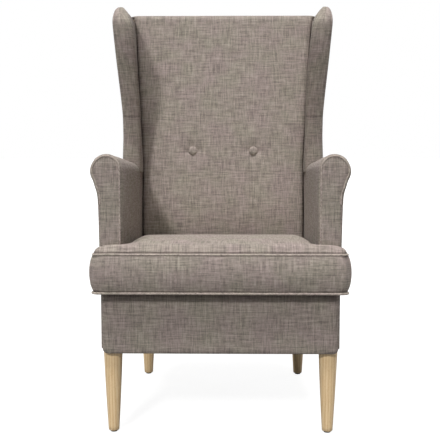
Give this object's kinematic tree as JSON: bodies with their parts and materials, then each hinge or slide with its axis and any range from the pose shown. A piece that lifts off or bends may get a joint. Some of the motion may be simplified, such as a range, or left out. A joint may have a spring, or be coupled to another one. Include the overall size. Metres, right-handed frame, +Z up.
{
  "type": "fireside chair",
  "caption": "Upholstered high-back fireside chair with scroll arms, wings, buttoned back, loose T-shaped seat cushion and turned wooden legs.",
  "frame": {"origin": "on the floor, under the middle of the chair's whole box", "axes": "+X to the right as the picture shows it, +Y to the back, +Z up"},
  "size_m": [0.638, 0.776, 1.151],
  "materials": {
    "linen": "taupe linen-look weave",
    "piping": "self piping, same weave",
    "lining": "black lining cloth",
    "webbing": "elastic webbing",
    "twine": "waxed twine",
    "foam": "cut upholstery foam",
    "beech": "clear satin lacquer",
    "plywood": "sanded birch ply",
    "steel": "zinc plated",
    "glide": "moulded nylon"
  },
  "bodies": {
    "chair": {"front_rail": "beech", "rear_rail": "beech", "side_rail_left": "beech", "side_rail_right": "beech", "front_post_left": "beech", "front_post_right": "beech", "back_post_left": "beech", "back_post_right": "beech", "top_rail": "beech", "lumbar_rail": "beech", "arm_rail_left": "beech", "arm_rail_right": "beech", "wing_board_left": "plywood", "wing_board_right": "plywood", "corner_blocks": "beech", "frame_dowels": "plywood", "wing_screws": "steel", "leg_front_left": "beech", "leg_front_right": "beech", "leg_rear_left": "beech", "leg_rear_right": "beech", "hanger_bolts": "steel", "tee_nuts": "steel", "glides": "glide", "seat_springs": "steel", "spring_clips": "steel", "back_webbing": "webbing", "deck_pad": "foam", "deck_cover": "lining", "front_border": "linen", "side_panel_left": "linen", "side_panel_right": "linen", "dust_cover": "lining", "arm_pad_left": "foam", "arm_pad_right": "foam", "arm_cover_left": "linen", "arm_cover_right": "linen", "arm_facing_left": "linen", "arm_facing_right": "linen", "arm_piping_left": "piping", "arm_piping_right": "piping", "wing_pad_left": "foam", "wing_pad_right": "foam", "wing_cover_left": "linen", "wing_cover_right": "linen", "back_foam": "foam", "inside_back_cover": "linen", "outside_back_panel": "linen", "back_buttons": "linen", "button_ties": "twine"},
    "seat_cushion": {"cushion_core": "foam", "cushion_top_panel": "linen", "cushion_boxing": "linen", "cushion_bottom_panel": "linen", "cushion_piping_top": "piping", "cushion_piping_bottom": "piping", "zip_tape": "lining"},
    "zip_slider": {"zip_slider": "steel"}
  },
  "joints": [
    {"name": "seat_cushion_lift", "type": "slide", "parent": "chair", "child": "seat_cushion", "axis": [0, 0, 1], "range_m": [0, 0.36]},
    {"name": "zip_slide", "type": "slide", "parent": "seat_cushion", "child": "zip_slider", "axis": [1, 0, 0], "range_m": [0, 0.42]}
  ]
}
